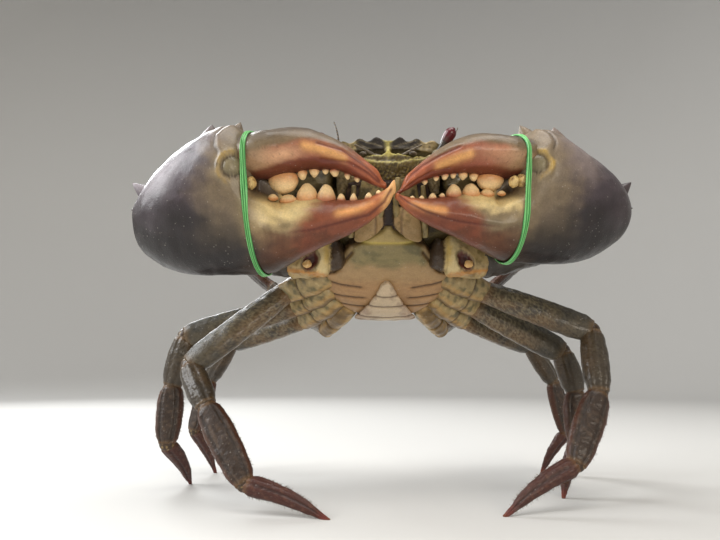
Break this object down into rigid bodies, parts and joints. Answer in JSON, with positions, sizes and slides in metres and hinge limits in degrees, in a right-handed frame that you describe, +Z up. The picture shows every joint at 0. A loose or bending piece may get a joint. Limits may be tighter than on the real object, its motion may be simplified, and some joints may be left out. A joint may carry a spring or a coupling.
{
  "type": "mud crab model",
  "caption": "Life-size model of a large male mud crab, reared on the tips of its walking legs, with its big claws folded in front and each tied shut with green twine.",
  "frame": {"origin": "on the floor, at the middle of the crab's width and depth", "axes": "+Z up, the crab faces -Y, its left side is +X"},
  "size_m": [0.3151, 0.1804, 0.221],
  "materials": {
    "back_shell": "dark olive-brown shell, wet",
    "claw_shell": "purple-grey to brown claw shell, smooth and wet",
    "finger_shell": "terracotta and orange finger shell with cream teeth",
    "belly_shell": "cream and olive underside",
    "leg_shell": "olive-grey leg shell with a pale net pattern, wet",
    "foot_shell": "reddish-brown foot shell with hairy edges",
    "eye": "grey stalk with a dark wine-red cornea",
    "twine": "flat split-film green twine"
  },
  "bodies": {
    "root": {"abdomen": "belly_shell", "carapace": "back_shell", "epistome": "belly_shell", "sternum": "belly_shell", "left_antenna": "back_shell", "left_antennule": "back_shell", "left_arm": "claw_shell", "left_claw_base": "belly_shell", "left_eye": "eye", "left_finger": "finger_shell", "left_leg_bases": "belly_shell", "left_maxilliped": "belly_shell", "left_palm": "claw_shell", "left_twine": "twine", "left_wrist": "claw_shell", "left_leg1_merus": "leg_shell", "left_leg1_carpus": "leg_shell", "left_leg1_propodus": "foot_shell", "left_leg1_dactylus": "foot_shell", "left_leg2_merus": "leg_shell", "left_leg2_carpus": "leg_shell", "left_leg2_propodus": "foot_shell", "left_leg2_dactylus": "foot_shell", "left_leg3_merus": "leg_shell", "left_leg3_carpus": "leg_shell", "left_leg3_propodus": "foot_shell", "left_leg3_dactylus": "foot_shell", "left_leg4_merus": "leg_shell", "left_leg4_carpus": "leg_shell", "left_leg4_propodus": "foot_shell", "left_leg4_dactylus": "foot_shell", "right_antenna": "back_shell", "right_antennule": "back_shell", "right_arm": "claw_shell", "right_claw_base": "belly_shell", "right_eye": "eye", "right_finger": "finger_shell", "right_leg_bases": "belly_shell", "right_maxilliped": "belly_shell", "right_palm": "claw_shell", "right_twine": "twine", "right_wrist": "claw_shell", "right_leg1_merus": "leg_shell", "right_leg1_carpus": "leg_shell", "right_leg1_propodus": "foot_shell", "right_leg1_dactylus": "foot_shell", "right_leg2_merus": "leg_shell", "right_leg2_carpus": "leg_shell", "right_leg2_propodus": "foot_shell", "right_leg2_dactylus": "foot_shell", "right_leg3_merus": "leg_shell", "right_leg3_carpus": "leg_shell", "right_leg3_propodus": "foot_shell", "right_leg3_dactylus": "foot_shell", "right_leg4_merus": "leg_shell", "right_leg4_carpus": "leg_shell", "right_leg4_propodus": "foot_shell", "right_leg4_dactylus": "foot_shell"}
  },
  "joints": []
}
